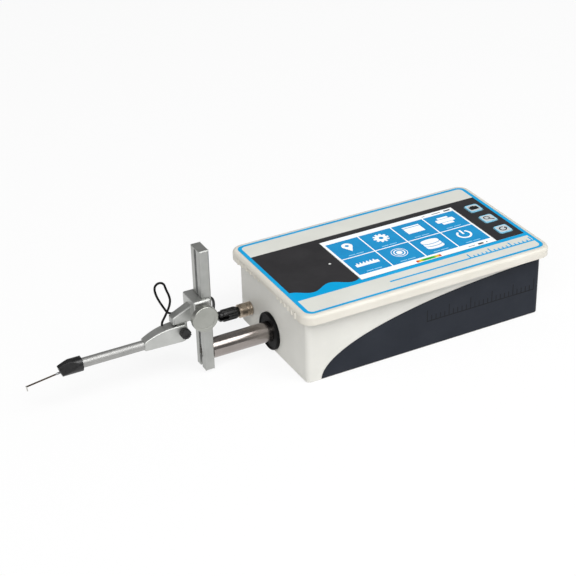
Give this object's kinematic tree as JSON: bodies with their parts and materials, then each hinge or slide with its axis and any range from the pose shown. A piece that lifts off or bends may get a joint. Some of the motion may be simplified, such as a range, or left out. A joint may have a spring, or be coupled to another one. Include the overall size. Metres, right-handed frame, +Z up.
{
  "type": "surface roughness tester",
  "caption": "Bench roughness tester: housing with touch display, traversing shaft, height column with knob, and a tilting holder with a hinged stylus pick-up.",
  "frame": {"origin": "centre of the housing's underside", "axes": "+X along the housing away from the pick-up, +Y away from the operator, +Z up"},
  "size_m": [0.5205, 0.161, 0.1315],
  "materials": {
    "housing_plastic": "matte moulded",
    "overlay_film": "satin printed film",
    "dark_foil": "satin film",
    "touch_panel": "glossy",
    "key_plastic": "satin",
    "clear_lens": "clear",
    "rubber": "matte",
    "steel": "machined",
    "ground_shaft": "ground and polished",
    "aluminium": "satin",
    "bronze": "machined",
    "nickel": "nickel plated",
    "black_plastic": "satin",
    "circuit_board": "solder mask",
    "display_frame": "matte",
    "battery_film": "film",
    "copper_coil": "lacquered",
    "stylus_steel": "dark",
    "tip_holder": "ground",
    "cable_jacket": "gloss"
  },
  "bodies": {
    "housing": {"base_shell": "housing_plastic", "lid": "housing_plastic", "lid_gasket": "rubber", "lid_screws": "steel", "side_foil": "dark_foil", "front_overlay": "overlay_film", "touch_glass": "touch_panel", "display_module": "display_frame", "keypad_board": "circuit_board", "key_domes": "steel", "panel_screws": "steel", "status_lens": "clear_lens", "main_board": "circuit_board", "board_screws": "steel", "battery_pack": "battery_film", "charge_socket": "black_plastic", "data_socket": "steel", "drive_frame": "aluminium", "frame_screws": "steel", "front_bush": "bronze", "rear_bush": "bronze", "shaft_flange": "black_plastic", "shaft_seal": "rubber", "gearbox": "steel", "drive_motor": "display_frame", "end_switches": "black_plastic", "probe_socket": "nickel", "plug_backshell": "black_plastic", "cable_plug_run": "cable_jacket"},
    "traverse": {"drive_shaft": "ground_shaft", "traveller": "aluminium", "drive_nut": "bronze", "column": "aluminium", "clamp_screw": "steel", "height_rack": "steel", "cable_carriage_run": "cable_jacket"},
    "screw_drive": {"lead_screw": "steel", "screw_coupling": "steel", "output_shaft": "steel"},
    "height_carriage": {"carriage": "aluminium", "cable_pickup_run": "cable_jacket"},
    "height_drive": {"height_pinion": "bronze", "pinion_shaft": "steel", "height_knob": "aluminium"},
    "pickup": {"probe_holder": "aluminium", "cable_grommet": "rubber", "pickup_tube": "aluminium", "pickup_coil": "copper_coil", "nose_cap": "black_plastic", "pivot_pin": "steel"},
    "thumbscrew": {"thumb_knob": "black_plastic", "thumb_stud": "steel"},
    "stylus": {"stylus_lever": "stylus_steel", "stylus_ferrule": "tip_holder", "stylus_tip": "tip_holder"},
    "rear_key": {"key_rear": "key_plastic"},
    "middle_key": {"key_middle": "key_plastic"},
    "front_key": {"key_front": "key_plastic"},
    "coupling_ring": {"plug_ring": "nickel"}
  },
  "joints": [
    {"name": "traverse_slide", "type": "slide", "parent": "housing", "child": "traverse", "axis": [1, 0, 0], "range_m": [0, 0.05], "deforming": ["cable_plug_run"]},
    {"name": "lead_screw_turn", "type": "hinge", "parent": "housing", "child": "screw_drive", "pos_m": [0, 0.03, 0.0195], "axis": [1, 0, 0], "range_deg": [0, 4510]},
    {"name": "height_slide", "type": "slide", "parent": "traverse", "child": "height_carriage", "axis": [0, 0, 1], "range_m": [-0.026, 0.042], "deforming": ["cable_carriage_run"]},
    {"name": "height_knob_turn", "type": "hinge", "parent": "height_carriage", "child": "height_drive", "pos_m": [-0.2106, 0.004, 0.068], "axis": [0, 1, 0], "range_deg": [-340, 545]},
    {"name": "pickup_tilt", "type": "hinge", "parent": "height_carriage", "child": "pickup", "pos_m": [-0.226, 0.004, 0.0503], "axis": [0, 1, 0], "range_deg": [-20, 5], "deforming": ["cable_pickup_run"]},
    {"name": "thumbscrew_turn", "type": "hinge", "parent": "pickup", "child": "thumbscrew", "pos_m": [-0.226, 0.004, 0.0503], "axis": [0, 1, 0], "range_deg": [0, 360]},
    {"name": "stylus_pivot", "type": "hinge", "parent": "pickup", "child": "stylus", "pos_m": [-0.3319, 0.004, 0.0431], "axis": [0, 1, 0], "range_deg": [0, 8.2]},
    {"name": "rear_key_press", "type": "slide", "parent": "housing", "child": "rear_key", "axis": [0, 0, -1], "range_m": [0, 0.0005], "stiffness_N_per_m": 2000, "springref_m": -0.0005},
    {"name": "middle_key_press", "type": "slide", "parent": "housing", "child": "middle_key", "axis": [0, 0, -1], "range_m": [0, 0.0005], "stiffness_N_per_m": 2000, "springref_m": -0.0005},
    {"name": "front_key_press", "type": "slide", "parent": "housing", "child": "front_key", "axis": [0, 0, -1], "range_m": [0, 0.0005], "stiffness_N_per_m": 2000, "springref_m": -0.0005},
    {"name": "coupling_ring_turn", "type": "hinge", "parent": "housing", "child": "coupling_ring", "pos_m": [-0.132, 0.0475, 0.0227], "axis": [1, 0, 0], "range_deg": [0, 360]}
  ],
  "couplings": [
    {"joint": "lead_screw_turn", "follows": "traverse_slide", "rad_per_m": 1570.8},
    {"joint": "height_knob_turn", "follows": "height_slide", "rad_per_m": 222.22}
  ]
}
